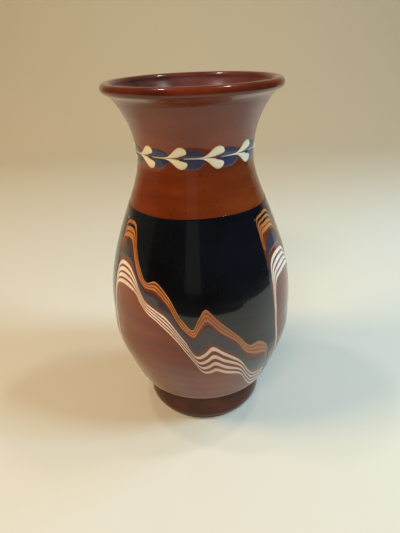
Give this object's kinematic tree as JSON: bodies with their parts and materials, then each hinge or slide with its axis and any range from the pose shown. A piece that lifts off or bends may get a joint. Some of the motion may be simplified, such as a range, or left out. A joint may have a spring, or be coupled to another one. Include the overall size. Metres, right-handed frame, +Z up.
{
  "type": "slip-trailed pottery vase",
  "caption": "Round-bellied glazed redware vase on a low foot, with a flared neck, a rolled rim and dragged slip lines in orange, slate, cream and black.",
  "frame": {"origin": "centre of the foot's flat underside, where the vase stands", "axes": "+Z up along the throwing axis, -Y towards the side where the widest black field shows"},
  "size_m": [0.0987, 0.0987, 0.18],
  "materials": {
    "fired_clay": "dark red-brown redware, clear glossy glaze on the foot, bare under it",
    "dark_glaze": "glossy dark brown glaze",
    "red_slip": "terracotta slip under clear glossy glaze",
    "black_slip": "black slip under clear glossy glaze",
    "orange_slip": "ochre orange slip under clear glossy glaze",
    "slate_slip": "slate grey-blue slip under clear glossy glaze",
    "cream_slip": "cream slip under clear glossy glaze"
  },
  "bodies": {
    "root": {"black_slip_fall_1": "black_slip", "black_slip_fall_2": "black_slip", "black_slip_fall_3": "black_slip", "black_slip_ring": "black_slip", "clay_body": "fired_clay", "garland_dot_01": "slate_slip", "garland_dot_02": "slate_slip", "garland_dot_03": "slate_slip", "garland_dot_04": "slate_slip", "garland_dot_05": "slate_slip", "garland_dot_06": "slate_slip", "garland_dot_07": "slate_slip", "garland_dot_08": "slate_slip", "garland_dot_09": "slate_slip", "garland_dot_10": "slate_slip", "garland_dot_11": "slate_slip", "garland_leaf_pair_01": "cream_slip", "garland_leaf_pair_02": "cream_slip", "garland_leaf_pair_03": "cream_slip", "garland_leaf_pair_04": "cream_slip", "garland_leaf_pair_05": "cream_slip", "garland_leaf_pair_06": "cream_slip", "garland_leaf_pair_07": "cream_slip", "garland_leaf_pair_08": "cream_slip", "garland_leaf_pair_09": "cream_slip", "garland_leaf_pair_10": "cream_slip", "garland_leaf_pair_11": "cream_slip", "hill_1_cream_line_1": "cream_slip", "hill_1_cream_line_2": "cream_slip", "hill_1_cream_line_3": "cream_slip", "hill_1_cream_line_4": "cream_slip", "hill_1_orange_line_1": "orange_slip", "hill_1_orange_line_2": "orange_slip", "hill_1_orange_line_3": "orange_slip", "hill_1_slate_band": "slate_slip", "hill_2_cream_line_1": "cream_slip", "hill_2_cream_line_2": "cream_slip", "hill_2_cream_line_3": "cream_slip", "hill_2_cream_line_4": "cream_slip", "hill_2_orange_line_1": "orange_slip", "hill_2_orange_line_2": "orange_slip", "hill_2_orange_line_3": "orange_slip", "hill_2_orange_line_4": "orange_slip", "hill_2_slate_band": "slate_slip", "hill_3_cream_line_1": "cream_slip", "hill_3_cream_line_2": "cream_slip", "hill_3_cream_line_3": "cream_slip", "hill_3_cream_line_4": "cream_slip", "hill_3_orange_line_1": "orange_slip", "hill_3_orange_line_2": "orange_slip", "hill_3_orange_line_3": "orange_slip", "hill_3_orange_line_4": "orange_slip", "hill_3_slate_band": "slate_slip", "inner_glaze": "dark_glaze", "red_slip_coat": "red_slip"}
  },
  "joints": []
}
